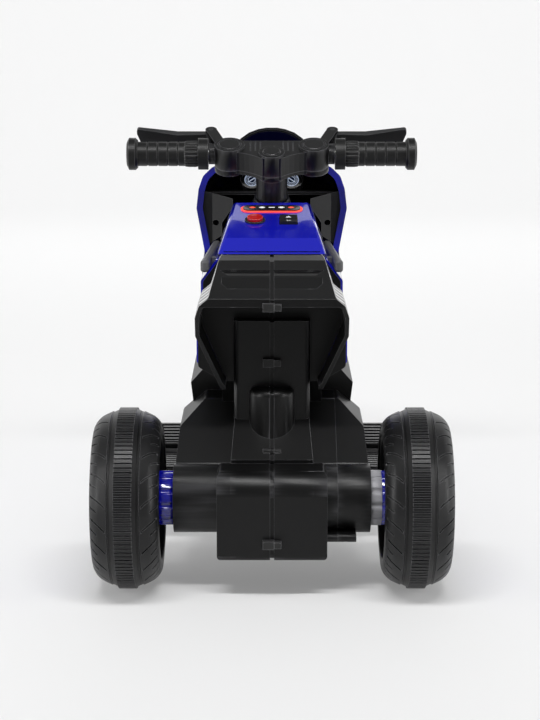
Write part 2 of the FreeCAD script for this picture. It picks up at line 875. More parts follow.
def tail_volume(inset):
    """The raised tail: a sloping top, and a deep recess behind framed by a rim down both sides."""
    lip = size.tail_edge_height - size.tail_lip
    side = [
        (tail_edge_y, lip), (rear_axle_y + size.tail_foot_reach, size.waist_height),
        (seat_rear_y, size.waist_height),
        (seat_rear_y, size.seat_height - size.lug_depth), (tail_front_y, size.tail_top_height),
        (tail_top_rear_y, size.tail_top_height - size.wall), (tail_edge_y, size.tail_edge_height),
    ]
    half = [
        (size.tail_top_half_width, size.tail_top_height),
        (size.tail_edge_half_width, size.tail_edge_height),
        (size.tail_shoulder_half_width, size.tail_shoulder_height),
        (size.tail_wide_half_width, size.tail_wide_height),
        (size.tail_wide_half_width, size.tail_side_height),
        (size.waist_half_width, size.waist_height),
    ]
    outline = mirrored_outline(half)
    form = prism(side, "YZ", -size.tail_wide_half_width, size.tail_wide_half_width, inset, size.bead_depth)
    form = form.common(prism(outline, "XZ", tail_edge_y, seat_rear_y, inset, size.corner_radius))
    rim = float(size.tail_rim) - inset
    recess = prism(outline, "XZ", tail_edge_y - size.wall - rim, mid_rear_y + inset + rim, rim,
                   size.corner_radius)
    gate = size.waist_half_width - size.tail_rim + inset
    recess = recess.fuse(box_between(-gate, gate, tail_edge_y - size.wall, mid_rear_y + inset,
                                     size.waist_height - size.wall, size.waist_height + size.tail_rim * 2))
    return form.cut(recess.common(half_space("Z", size.waist_height - size.wall, lip + inset)))


def mid_volume(inset):
    front = mid_front_y
    side = [
        (-size.flank_rear_reach, size.mid_floor_height), (front * MID_KEEL_SHARE, size.mid_floor_height),
        (front * MID_NOSE_SHARE, size.flank_height), (front, size.tank_deck_height),
        (seat_front_y, size.tank_deck_height), (seat_front_y, size.seat_height),
        (seat_rear_y, size.seat_height), (mid_rear_y, size.tail_wide_height),
        (mid_rear_y, size.waist_height),
    ]
    half = [
        (size.tank_deck_half_width, size.tank_deck_height),
        (size.tail_wide_half_width, size.tail_wide_height),
        (size.tail_wide_half_width, size.mid_low_height), (size.waist_half_width, size.waist_height),
        (size.waist_half_width, size.mid_floor_height),
    ]
    form = prism(side, "YZ", -size.tail_wide_half_width, size.tail_wide_half_width, inset)
    return form.common(prism(mirrored_outline(half), "XZ", mid_rear_y, front, inset, size.corner_radius))


def flank_volume(inset):
    """The wide lower flanks, which the footrests are fixed to."""
    rear, front = -size.flank_rear_reach, size.flank_front_reach
    side = [
        (rear, size.flank_floor_height), (front * MID_KEEL_SHARE, size.flank_floor_height),
        (front, size.flank_nose_height), (front * MID_KEEL_SHARE, size.flank_top_height),
        (rear, size.flank_top_height),
    ]
    half = [
        (size.flank_top_half_width, size.flank_top_height), (size.flank_half_width, size.flank_height),
        (size.flank_top_half_width, size.flank_floor_height),
    ]
    form = prism(side, "YZ", -size.flank_half_width, size.flank_half_width, inset)
    return form.common(prism(mirrored_outline(half), "XZ", rear, front, inset))


def flank_fins():
    """Slanting shallow grooves down the flanks."""
    depth = float(size.bead_depth)
    skin_room = flank_volume(0.0).cut(flank_volume(depth))
    low, high = size.footrest_height + size.flank_fin_width * 2, size.flank_height - size.flank_fin_width
    fins = []
    for index in range(int(float(size.flank_fin_count))):
        foot = -size.flank_rear_reach + size.flank_fin_width * 2 + size.flank_fin_pitch * index
        lean = size.flank_fin_pitch
        outline = [(foot, low), (foot + size.flank_fin_width, low),
                   (foot + lean + size.flank_fin_width, high),
                   (foot + lean, high)]
        fins.append(skin_room.common(prism(outline, "YZ", -FAR, FAR)))
    return fins


def head_volume(inset):
    """The head tube that carries the steering, with the gusset that joins it to the body."""
    tube = along_stem(size.head_tube_diameter - inset * 2, size.head_tube_foot + inset,
                      size.collar_level - inset)
    top = STEER_FOOT + STEER_UP * float(size.collar_level)
    foot = STEER_FOOT + STEER_UP * float(size.head_tube_foot)
    rear = mid_front_y * MID_NOSE_SHARE
    gusset = [(rear, size.waist_height), (foot.y, foot.z), (top.y, top.z - float(size.collar_height)),
              (rear, size.tank_deck_height)]
    half = size.head_tube_diameter / 2
    return tube.fuse(prism(gusset, "YZ", -half, half, inset))


VOLUMES = (
    deck_volume, panel_volume, drum_volume, side_drum_volume, column_volume, dome_volume, tail_volume,
    mid_volume,
    flank_volume, head_volume,
)


def body_form(inset):
    """The whole body with its skin moved in by the inset."""
    parts = [volume(float(inset)) for volume in VOLUMES]
    return parts[0].multiFuse(parts[1:]).removeSplitter()


def box_between(x_low, x_high, y_low, y_high, z_low, z_high):
    low = Vector(float(x_low), float(y_low), float(z_low))
    return Part.makeBox(float(x_high) - low.x, float(y_high) - low.y, float(z_high) - low.z, low)


# Screw lugs across the middle seam: (how far back the lug reaches, its level).
COLUMN_LUG_SHARE = 0.31
SEAM_LUGS = (
    (tail_edge_y - size.lug_depth / 2, size.tail_edge_height - size.tail_lip),
    (column_face_y - size.lug_depth,
     size.dome_top_height + (size.tail_wide_height - size.dome_top_height) * COLUMN_LUG_SHARE),
    (deck_rear_y + size.lug_height, size.deck_rear_height + size.lug_height),
    (rear_axle_y - size.drum_reach - size.lug_depth, rear_axle_z - size.drum_below_axle + size.lug_width),
)
LUG_ROOT_SHARE = 2.5
gear_seam_x = size.drum_half_width + size.coupler_width
gear_cover_front_y = -size.flank_rear_reach
battery_rear_y = seat_rear_y + size.battery_setback
cover_lug_y = rear_axle_y - size.side_drum_diameter / 2
cover_lug_z = rear_axle_z - size.side_drum_diameter * size.lug_small_share


def seam_lug(index, x_low, x_high, height):
    back, level = SEAM_LUGS[index]
    root = back + size.lug_depth * LUG_ROOT_SHARE
    return box_between(x_low, x_high, back, root, level - height / 2, level + height / 2)


def cover_lug(x_low, x_high):
    foot = Vector(float(x_low), float(cover_lug_y), float(cover_lug_z))
    lug = Part.makeCylinder(float(size.lug_height) / 2, float(x_high) - foot.x, foot, Vector(1, 0, 0))
    return lug.fuse(box_between(x_low, x_high, foot.y, foot.y + float(size.lug_width),
                                foot.z - float(size.lug_height) / 2, foot.z + float(size.lug_height) / 2))


def rear_bore(diameter, x_low, x_high):
    foot = Vector(float(x_low), float(rear_axle_y), float(rear_axle_z))
    return Part.makeCylinder(float(diameter) / 2, float(x_high) - foot.x, foot, Vector(1, 0, 0))


def tail_scoops():
    """Two scooped recesses across the sloping face of the tail, one under a ridge and one above a step."""
    rise, run = float(size.tail_top_height - size.wall - size.tail_edge_height), float(size.tail_slope_length)
    slope = Placement(Vector(0, float(tail_edge_y), float(size.tail_edge_height)),
                      Rotation(Vector(1, 0, 0), math.degrees(math.atan2(rise, run))))
    length = math.hypot(rise, run)
    wide, deep = float(size.tail_edge_half_width), float(size.tail_pocket_depth)
    scoops = []
    for shares, hinge in ((RIDGE_SCOOP_SHARES, 0), (STEP_SCOOP_SHARES, -1)):
        pivot = shares[hinge][1] * length
        half = [(across * wide, along * length - pivot) for across, along in shares]
        lean = math.degrees(math.atan2(deep, (shares[-1][1] - shares[0][1]) * length))
        scoop = prism(mirrored_outline(half), "XY", 0, deep * 2)
        tilt = Placement(Vector(0, pivot, 0), Rotation(Vector(1, 0, 0), lean if hinge else -lean))
        scoop.Placement = slope.multiply(tilt)
        scoops.append(scoop)
    return scoops


# Corners of the scoops: (share of the tail's half width, share of the way up the slope), lowest first.
RIDGE_SCOOP_SHARES = ((0.70, 0.60), (0.83, 0.74))
STEP_SCOOP_SHARES = ((0.70, 0.26), (0.80, 0.40), (0.80, 0.55))


def body():
    outer, inner = body_form(0), body_form(size.wall)
    bead = size.bead_width / 2
    steering_bore = along_stem(bush_diameter, size.head_tube_foot - size.wall,
                               size.collar_level + size.wall)
    hatch_half = size.battery_width / 2 + size.wall
    hatch = box_between(-hatch_half, hatch_half, battery_rear_y - size.wall,
                        battery_rear_y + size.battery_length + size.wall,
                        size.seat_height - size.wall * 2, size.seat_height + size.wall)
    openings = [steering_bore, hatch, rear_bore(axle_bore, -FAR, FAR)]
    openings.append(rear_bore(size.coupler_sleeve_diameter + size.moving_gap * 2, size.drum_half_width,
                              FAR))
    openings += tail_scoops() + flank_fins()
    shell = outer.cut(inner).cut(openings)
    strip = body_form(size.strip_recess).cut(inner).cut(openings)
    left = shell.common(half_space("X", -FAR, -bead)).fuse(strip.common(half_space("X", -bead, bead)))
    right = shell.common(half_space("X", bead, FAR)).cut(gear_room())
    cover = shell.common(gear_room())
    for index in range(len(SEAM_LUGS)):
        left = left.fuse(seam_lug(index, -size.lug_width / 2, bead, size.lug_height).cut(inner))
        small = size.lug_height * (1 - size.lug_small_share / 2)
        right = right.fuse(seam_lug(index, bead, size.lug_width / 2, small).cut(inner))
    right = right.fuse(cover_lug(size.drum_half_width - size.wall, gear_seam_x).cut(inner))
    cover = cover.fuse(cover_lug(gear_seam_x, gear_seam_x + size.lug_width).cut(inner))
    reach = float(size.lug_width / 2 - size.bead_depth)
    for back, level in SEAM_LUGS:
        foot = Vector(-reach, float(back + size.lug_depth / 2), float(level))
        hole = Part.makeCylinder(float(size.screw_diameter) / 2 + float(size.running_gap), 2 * reach, foot,
                                 Vector(1, 0, 0))
        left, right = left.cut(hole), right.cut(hole)
    node("body_left", moulded("LeftHalf", left.removeSplitter()))
    node("body_right", moulded("RightHalf", right.removeSplitter()))
    node("gear_cover", moulded("GearCover", cover.removeSplitter()))


def gear_room():
    """The room the gear cover takes: the deck corner and side drum, clear of the column and flanks."""
    return box_between(gear_seam_x, FAR, -FAR, gear_cover_front_y, -FAR, size.deck_top_height + size.wall)


def body_screws():
    """One screw through each seam lug, seen as a round head on the left."""
    reach = size.lug_width / 2 - size.bead_depth
    screws = []
    for index, (back, level) in enumerate(SEAM_LUGS):
        depth = back + size.lug_depth / 2
        screws.append(rod("Screw%d" % index, size.screw_diameter, reach * 2, -reach, depth, level, "X"))
    return screws


def softened(shape, radius, keep):
    """A solid with the edges that a test picks rounded over."""
    return shape.makeFillet(float(radius), [edge for edge in shape.Edges if keep(edge)])


# Seat and tank top.
tank_ridge_y = tank_rear_y + size.tank_lip_length
tank_slope = math.atan2(float(size.tank_front_height - size.tank_rear_height),
                        float(tank_front_y - tank_ridge_y))


def seat():
    rear, front = seat_rear_y + size.wall, seat_front_y - size.moving_gap
    outline = [(-size.seat_half_width, rear), (size.seat_half_width, rear), (size.seat_half_width, front),
               (-size.seat_half_width, front)]
    top = size.seat_height + size.seat_thickness
    pad = prism(outline, "XY", size.seat_height, top, 0, size.seat_thickness)
    pad = softened(pad, size.seat_crown,
                   lambda edge: edge.BoundBox.ZMin > float(top) - float(size.seat_gap))
    node("seat", moulded("SeatPad", pad))


def tank_form(inset):
    floor = size.tank_deck_height - inset
    top = size.tank_front_height + size.wall
    side = [(tank_rear_y, floor), (tank_front_y, floor), (tank_front_y, size.tank_front_height),
            (tank_ridge_y, size.tank_rear_height)]
    half = [(size.tank_top_half_width, top), (size.tank_half_width, floor)]
    form = prism(side, "YZ", -size.tank_half_width, size.tank_half_width, inset)
    return form.common(prism(mirrored_outline(half), "XZ", tank_rear_y, tank_front_y, inset))


def on_tank(x, setback):
    """The place on the sloping tank top at a distance across and behind its front edge."""
    along = float(tank_front_y - setback)
    rise = (along - float(tank_ridge_y)) * math.tan(tank_slope)
    return Placement(Vector(float(x), along, float(size.tank_rear_height) + rise),
                     Rotation(Vector(1, 0, 0), math.degrees(tank_slope)))


def plate_on_tank(x, setback, shape):
    shape.Placement = on_tank(x, setback)
    return shape


def stadium(half_width, half_depth, low, high):
    outline = [(-half_width, -half_depth), (half_width, -half_depth), (half_width, half_depth),
               (-half_width, half_depth)]
    return prism(outline, "XY", low, high, 0, half_depth * STADIUM_SHARE)


STADIUM_SHARE = 0.99
ACROSS_SHARE = 0.5


def disc(diameter, low, high):
    return Part.makeCylinder(float(diameter) / 2, float(high) - float(low), Vector(0, 0, float(low)))


def switch_pin(gap):
    """The pin that the direction switch rocks on, let into the edge of its slot."""
    reach = size.switch_width / 2 + size.switch_pin_reach + gap
    return cross_bar(size.switch_pin_diameter + gap * 2, -reach, reach, 0, -size.tank_wall / 2)


def dashboard():
    """The tank top with its display, start button and direction switch."""
    deep = -size.tank_wall * 2
    hole = plate_on_tank(-size.start_button_offset, size.dash_row_setback,
                         disc(size.start_button_diameter + size.moving_gap * 2, deep, size.tank_wall))
    slot_half = size.switch_width / 2 + size.moving_gap
    slot_depth = size.switch_length / 2 + size.moving_gap * 2
    slot = plate_on_tank(size.start_button_offset, size.dash_row_setback,
                         box_between(-slot_half, slot_half, -slot_depth, slot_depth, deep,
                                     size.tank_wall).fuse(
                             switch_pin(size.running_gap)))
    sides = softened(tank_form(0), size.tank_round,
                     lambda edge: edge.CenterOfMass.z > float(size.tank_deck_height) + float(size.tank_wall)
                     and abs(edge.tangentAt(edge.FirstParameter).x) < ACROSS_SHARE)
    shell = sides.cut([tank_form(float(size.tank_wall)), hole, slot])
    room = prism([(tank_rear_y + size.tank_wall, size.tank_deck_height - size.wall),
                  (tank_front_y - size.tank_wall, size.tank_deck_height - size.wall),
                  (tank_front_y - size.tank_wall, size.tank_deck_height + size.wall),
                  (tank_rear_y + size.tank_wall, size.tank_deck_height + size.wall)], "YZ",
                 -size.tank_deck_half_width, size.tank_deck_half_width)
    node("tank_cover", moulded("TankShell", shell.cut(room)))

    display_back = size.display_setback + size.display_half_depth
    panel = stadium(size.display_half_width, size.display_half_depth, 0, size.display_thickness)
    node("display_panel", moulded("DisplayPanel", plate_on_tank(0, display_back, panel)))
    ring_in = size.seat_gap
    ring_out = size.light_ring_width
    ring = stadium(size.display_half_width + ring_out, size.display_half_depth + ring_out, 0,
                   size.light_ring_raise)
    ring = ring.cut(stadium(size.display_half_width + ring_in, size.display_half_depth + ring_in,
                            -size.wall,
                            size.wall))
    node("display_light_ring", moulded("LightRing", plate_on_tank(0, display_back, ring)))

    bezel = disc(size.start_bezel_diameter, 0, size.button_travel).cut(
        disc(size.start_button_diameter + size.running_gap * 2, -size.wall, size.wall))
    node("start_bezel", moulded("StartBezel", plate_on_tank(-size.start_button_offset,
                                                            size.dash_row_setback, bezel)))
    button = disc(size.start_button_diameter, -size.tank_wall, size.start_button_raise + size.button_travel)
    button = softened(button, size.bead_depth, lambda edge: edge.Closed and edge.CenterOfMass.z > 0)
    node("start_button", moulded("StartButton",
                                 plate_on_tank(-size.start_button_offset, size.dash_row_setback, button)))

    half = size.switch_length / 2
    rise = size.switch_raise
    dip = rise - half * math.tan(math.radians(float(size.switch_tilt)))
    rocker = prism([(-half, -size.tank_wall), (half, -size.tank_wall), (half, rise), (0, dip),
                    (-half, rise)], "YZ",
                   -size.switch_width / 2, size.switch_width / 2).fuse(switch_pin(0))
    node("direction_switch", moulded("DirectionSwitch",
                                     plate_on_tank(size.start_button_offset, size.dash_row_setback,
                                                   rocker)))


# Side fairings, rails and front cowl.
fairing_face_x = size.tail_wide_half_width + size.fairing_thickness
FAIRING_OUTLINE = (
    (seat_rear_y + size.wall * 2, size.seat_height - size.wall),
    (seat_rear_y + size.wall * 2, size.fairing_low_height),
    (mid_front_y * MID_NOSE_SHARE, size.fairing_low_height),
    (mid_front_y * MID_NOSE_SHARE, size.fairing_top_height),
    (seat_front_y + size.wall, size.fairing_top_height),
    (seat_front_y + size.wall, size.seat_height - size.wall),
)


def fairings():
    raised = mid_volume(-float(size.fairing_thickness)).cut(mid_volume(0.0))
    for side, low, high in (("left", -FAR, -size.head_tube_diameter),
                            ("right", size.head_tube_diameter, FAR)):
        panel = raised.common(prism(FAIRING_OUTLINE, "YZ", low, high, 0, size.corner_radius))
        node("side_fairing_" + side, moulded("Fairing" + side.title(), panel.removeSplitter()))


def side_rails():
    """Bars along the sides of the tank, held off the fairings by two feet each."""
    low = size.rail_top_height - size.rail_height
    bulge = mid_volume(-float(size.fairing_thickness))
    for side, turn in (("left", -1), ("right", 1)):
        inner, outer = fairing_face_x - size.rail_width, fairing_face_x
        front_in = inner - size.rail_width
        outline = [(inner * turn, -size.rail_rear_reach), (outer * turn, -size.rail_rear_reach),
                   (front_in * turn + size.rail_width * turn, rail_front_y),
                   (front_in * turn, rail_front_y)]
        bar = prism(outline, "XY", low, size.rail_top_height, 0, size.rail_width * RAIL_ROUND_SHARE)
        bar = softened(bar, size.rail_width * RAIL_EDGE_SHARE,
                       lambda edge: abs(edge.tangentAt(edge.FirstParameter).z) < ACROSS_SHARE)
        for along in (0, mid_front_y * MID_KEEL_SHARE):
            edges = sorted([float(size.tank_deck_half_width) * turn, float(inner + size.wall) * turn])
            foot = box_between(edges[0], edges[1], along, along + size.rail_height, low + size.wall,
                               size.rail_top_height - size.wall)
            bar = bar.fuse(foot)
        node("side_rail_" + side, moulded("Rail" + side.title(), bar.cut(bulge).removeSplitter()))


RAIL_ROUND_SHARE = 0.45
RAIL_EDGE_SHARE = 0.36


def cowl_sections(rear_y, nose_y):
    """The cowl's outlines from the open rim at the rear to the closed nose."""
    wide, top = size.cowl_half_width, size.cowl_top_height
    cheek = fairing_face_x + size.cowl_wall
    rim = [(wide * across, top - (top - size.cowl_wide_height) * down) for across, down in COWL_RIM_SHARES]
    rim += [(cheek, size.cowl_cheek_height), (cheek, size.cowl_chin_height),
            (wide * COWL_CROWN_SHARE, size.cowl_bottom_height)]
    nose_half = size.cowl_nose_half_width
    middle_y = (cowl_rear_y + cowl_nose_y) / 2
    sections = []
    for share, level in ((0, rear_y), (COWL_MIDDLE_SHARE, middle_y), (1, nose_y)):
        outline = []
        for x, z in rim:
            nose_x = nose_half * (float(x) / float(wide))
            nose_z = size.cowl_nose_height + (z - size.cowl_wide_height) * NOSE_HEIGHT_SHARE
            outline.append((x * (1 - share) + nose_x * share, z * (1 - share) + nose_z * share))
        sections.append((level, mirrored_outline(outline), size.cowl_round))
    return sections


COWL_CROWN_SHARE = 0.52
COWL_RIM_SHARES = ((0.52, 0.0), (0.79, 0.19), (0.91, 0.36), (0.97, 0.62), (1.0, 1.0))
COWL_MIDDLE_SHARE = 0.3
NOSE_HEIGHT_SHARE = 0.22


def cowl_form(inset, rear_y=None):
    rear_y = cowl_rear_y if rear_y is None else rear_y
    return skin(cowl_sections(rear_y, cowl_nose_y - inset), inset)


def cowl():
    inner = cowl_form(float(size.cowl_wall), cowl_rear_y + size.cowl_wall)
    mouth_rim = cowl_sections(cowl_rear_y, cowl_nose_y)[0][1]
    rim = float(size.cowl_rim_width)
    mouth = prism(mouth_rim, "XZ", cowl_rear_y - size.cowl_wall - rim,
                  cowl_rear_y + size.cowl_wall * 2 + rim, rim, size.cowl_round)
    neck = along_stem(size.head_tube_diameter + size.wall * 2, 0, size.collar_level)
    shell = cowl_form(0).cut([inner, mouth, neck])
    arms = []
    for turn in (-1, 1):
        edges = sorted([float(fairing_face_x) * turn, float(fairing_face_x + size.cowl_wall) * turn])
        rear, front = mid_front_y * MID_KEEL_SHARE, cowl_rear_y + size.cowl_wall
        arm = [(rear, size.seat_height + size.wall * 2), (front, size.seat_height + size.wall),
               (front, size.cowl_cheek_height - size.wall),
               (rear + size.rail_height, size.tail_wide_height)]
        arms.append(prism(arm, "YZ", edges[0], edges[1], 0, size.wall))
    node("front_cowl", moulded("CowlShell", shell.fuse(arms).removeSplitter()))

    snug = cowl_form(float(size.cowl_wall + size.seat_gap), cowl_rear_y + size.cowl_wall)
    liner_y = cowl_rear_y + size.cowl_wall
    for side, turn in (("left", -1), ("right", 1)):
        panel = [(size.cowl_half_width, size.liner_top_height),
                 (size.liner_inner, size.liner_top_height - size.liner_slope),
                 (size.liner_inner, size.liner_top_height - size.liner_slope - size.liner_brow),
                 (size.liner_knee, size.liner_knee_height),
                 (size.liner_knee, size.liner_low_height + size.liner_slot_height),
                 (size.cowl_half_width, size.liner_low_height)]
        room = prism([(x * turn, z) for x, z in panel], "XZ", liner_y - FAR, liner_y + FAR)
        bend = size.liner_bend
        plan = [(size.cowl_half_width, liner_y), (bend, liner_y),
                (size.liner_inner, liner_y - size.liner_swing),
                (size.liner_inner, liner_y - size.liner_swing + size.liner_thickness),
                (bend, liner_y + size.liner_thickness),
                (size.cowl_half_width, liner_y + size.liner_thickness)]
        plate = prism([(x * turn, y) for x, y in plan], "XY", 0, FAR).common(room)
        behind = half_space("Y", -FAR, liner_y)
        plate = plate.common(behind).fuse(plate.cut(behind).common(snug)).removeSplitter()
        slot_x = (size.liner_knee + size.cowl_rim_width) * turn
        slot = [(slot_x - size.cowl_rim_width / 2, size.liner_knee_height - size.liner_thickness),
                (slot_x + size.cowl_rim_width / 2, size.liner_knee_height - size.liner_thickness),
                (slot_x + size.cowl_rim_width / 2, size.liner_knee_height + size.liner_thickness),
                (slot_x - size.cowl_rim_width / 2, size.liner_knee_height + size.liner_thickness)]
        slot = prism(slot, "XZ", liner_y - size.liner_swing, liner_y + size.liner_swing, 0,
                     size.liner_thickness * STADIUM_SHARE)
        node("cowl_liner_" + side, moulded("Liner" + side.title(), plate.cut(slot)))

    shelf = box_between(-size.cowl_half_width, size.cowl_half_width, liner_y + size.liner_thickness,
                        dial_y + size.dial_pod_diameter, size.dial_height - size.dial_pod_depth,
                        size.dial_height - size.dial_pod_depth + size.liner_thickness).common(snug)
    pods, faces = shelf, []
    tilt = Rotation(Vector(1, 0, 0), float(size.dial_tilt))
    for turn in (-1, 1):
        seat_place = Placement(Vector(float(size.dial_offset) * turn, float(dial_y),
                                      float(size.dial_height)),
                               tilt)
        pod = disc(size.dial_pod_diameter, -size.dial_pod_depth, 0)
        bowl = disc(size.dial_pod_diameter - size.wall * 2, -size.dial_recess, size.wall)
        face = disc(size.dial_diameter, -size.dial_recess, -size.dial_recess + size.light_ring_raise)
        for shape in (pod, bowl, face):
            shape.Placement = seat_place
        pods = pods.fuse(pod).cut(bowl)
        faces.append(face)
    clear = cowl_form(float(size.cowl_wall + size.seat_gap), cowl_rear_y - size.dial_pod_depth)
    node("dial_pods", moulded("DialPods", pods.common(clear).removeSplitter()))
    node("dial_faces", moulded("DialFaces", Part.makeCompound(faces)))

    lens_outline = [(size.headlight_offset - size.headlight_half_width,
                     size.cowl_nose_height + size.headlight_height),
                    (size.headlight_offset + size.headlight_half_width * LENS_TIP_SHARE,
                     size.cowl_wide_height),
                    (size.headlight_offset + size.headlight_half_width,
                     size.cowl_wide_height - size.headlight_height),
                    (size.headlight_offset, size.cowl_nose_height)]
    glaze = cowl_form(-float(size.light_ring_raise)).cut(cowl_form(0))
    lenses = []
    for turn in (-1, 1):
        outline = [(x * turn, z) for x, z in lens_outline]
        lenses.append(glaze.common(prism(outline, "XZ", headlight_rear_y, cowl_nose_y, 0,
                                         size.corner_radius)))
    node("headlight_lenses", moulded("HeadlightLenses", Part.makeCompound(lenses)))


LENS_TIP_SHARE = 0.6


def windscreen():
    """An arched screen standing on the cowl, open towards the rider."""
    rear_y = cowl_rear_y + size.screen_setback
    wide, top = size.screen_half_width, size.screen_top_height
    sections = []
    for level, spread, height in ((rear_y, 1, top), (rear_y + size.screen_length, SCREEN_FRONT_SHARE,
                                                      size.screen_front_height)):
        half = [(wide * spread * across, height - size.screen_arch * down) for across, down in ARCH_SHARES]
        sections.append((level, mirrored_outline(half), 0.0))
    arch = skin(sections)
    hollow = skin(sections, size.screen_thickness)
    mouth = prism(sections[0][1], "XZ", rear_y - size.wall * 2, rear_y + size.wall * 2,
                  float(size.screen_thickness))
    arch = arch.cut([hollow, mouth, cowl_form(-float(size.seat_gap))])
    node("windscreen", moulded("Screen", arch))


SCREEN_FRONT_SHARE = 0.5
ARCH_SHARES = ((0.12, 0.0), (0.3, 0.03), (0.5, 0.1), (0.68, 0.22), (0.82, 0.39), (0.92, 0.6), (1.0, 1.0))


# Steering group, drawn in a frame whose +Z runs up the steering axis.
crown_top = size.head_tube_foot - size.bush_flange - size.moving_gap
crown_low = crown_top - size.fork_crown_height
leg_inner = size.front_wheel_width / 2 + size.fork_gap
leg_outer = leg_inner + size.fork_leg_width
bar_bore = size.bar_diameter + size.running_gap * 2
pin_bore = size.lever_pin_diameter + size.running_gap * 2
lever_y = size.bar_reach + size.lever_reach
lever_low = size.bar_level - size.lever_height / 2
lever_high = size.bar_level + size.lever_height / 2
cover_split = lever_low - size.moving_gap


def steered(thing, x=0, y=0, z=0, axis="Z"):
    """Places a piece made along +Z at a point of the steering frame."""
    place = Placement(Vector(float(x), float(y), float(z)), AXIS_TURN[axis])
    thing.Placement = STEER.multiply(place)
    return thing


def steered_moulding(name, shape):
    shape.Placement = STEER.multiply(shape.Placement)
    return moulded(name, shape)


def round_bar(diameter, low, high, x=0, y=0):
    """A cylinder along +Z of the steering frame."""
    foot = Vector(float(x), float(y), float(low))
    return Part.makeCylinder(float(diameter) / 2, float(high) - foot.z, foot)


def cross_bar(diameter, low, high, y, z):
    """A cylinder across the bike in the steering frame."""
    foot = Vector(float(low), float(y), float(z))
    return Part.makeCylinder(float(diameter) / 2, float(high) - foot.x, foot, Vector(1, 0, 0))


def front_fork():
    stem_top = cover_split
    outer, inner = size.stem_diameter / 2, size.stem_diameter / 2 - size.stem_wall
    tube = turned("stem_turning", [(inner, crown_low), (outer, crown_low), (outer, stem_top),
                                   (inner, stem_top)])
    node("steering_stem", steered(tube))

    half = size.fork_leg_depth / 2
    rear, front = size.fork_offset - half, size.fork_offset + half
    crown = box_between(-leg_outer, leg_outer, -size.stem_diameter, front, crown_low, crown_top)
    crown = softened(crown, size.corner_radius,
                     lambda edge: abs(edge.tangentAt(edge.FirstParameter).z) > ACROSS_SHARE)
    fork = crown
    for side in (-1, 1):
        edges = sorted([float(leg_inner) * side, float(leg_outer) * side])
        leg = box_between(edges[0], edges[1], rear, front, 0, crown_low + size.wall)
        foot = cross_bar(size.fork_leg_depth, edges[0], edges[1], size.fork_offset, 0)
        fork = fork.fuse([leg, foot])
    holes = [round_bar(size.stem_diameter + size.running_gap * 2, crown_low - size.wall,
                       crown_top + size.wall),
             cross_bar(axle_bore, -FAR, FAR, size.fork_offset, 0)]
    node("fork", steered_moulding("ForkFrame", fork.cut(holes).removeSplitter()))

    radius = size.front_wheel_diameter / 2 + size.mudguard_gap
    wide = size.mudguard_half_width
    guard = cross_bar((radius + size.mudguard_thickness) * 2, -wide, wide, 0, 0)
    guard = guard.cut(cross_bar(radius * 2, -wide - size.wall, wide + size.wall, 0, 0))
    spread = float(size.mudguard_sweep) / 2
    far = float(radius) * 2
    fan = [(0.0, 0.0)]
    for share in MUDGUARD_FAN_SHARES:
        turn = math.radians(float(size.mudguard_lean) + spread * share)
        fan.append((far * math.sin(turn), far * math.cos(turn)))
    guard = guard.common(prism(fan, "YZ", -FAR, FAR))
    stay = box_between(-size.stem_diameter, size.stem_diameter, -size.stem_diameter, 0,
                       float(radius) * STAY_ROOT_SHARE, crown_low)
    stay = stay.cut(cross_bar((radius + size.mudguard_thickness / 2) * 2, -FAR, FAR, 0, 0))
    guard = guard.fuse(stay).removeSplitter()
    guard.Placement = Placement(Vector(0, float(size.fork_offset), 0), Rotation())
    guard = guard.cut(round_bar(size.stem_diameter + size.moving_gap * 2, 0, crown_top))
    node("mudguard", steered_moulding("MudguardForm", guard))

    end = leg_outer + size.axle_nut_thickness + size.axle_end
    axle = rod("front_axle_bar", size.axle_diameter, end * 2)
    node("front_axle", steered(axle, -end, size.fork_offset, 0, "X"))
    nuts = []
    for side, axis in ((-1, "-X"), (1, "X")):
        nut = nut_on_axle("front_nut_" + axis, leg_outer * side, 0, 0, axis)
        nuts.append(steered(nut, leg_outer * side, size.fork_offset, 0, axis))
    node("front_axle_nuts", fuse("front_nut_pair", *nuts))


STAY_ROOT_SHARE = 0.9
MUDGUARD_FAN_SHARES = (-1.0, -0.5, 0.0, 0.5, 1.0)


def front_trim(name):
    """The blue disc on each side of the front wheel, with a short sleeve round the axle."""
    seat, radius = trim_sizes(size.front_wheel_diameter, size.front_wheel_width)
    bore = axle_bore / 2
    sleeve = size.axle_nut_diameter / 2
    top = leg_inner - size.moving_gap
    wall = size.trim_thickness
    body = turned(f"{name}_turning", [(bore, seat), (radius, seat), (radius, seat + wall),
                                      (sleeve, seat + wall),
                                      (sleeve, top), (bore, top)])
    edge = size.trim_thickness * 2
    return slotted_disc(f"{name}_disc", body, size.trim_cap_diameter / 2 + edge, radius - edge, seat - wall,
                        seat + wall * 2)


def front_wheel_group():
    black = wheel("front", size.front_wheel_diameter, size.front_wheel_width, 1)
    node("front_wheel", at(black, 0, front_axle_y, front_axle_z, "X"))
    trims = [at(front_trim("front_trim_" + axis), 0, front_axle_y, front_axle_z, axis)
             for axis in ("-X", "X")]
    node("front_trims", fuse("front_trim_pair", *trims))


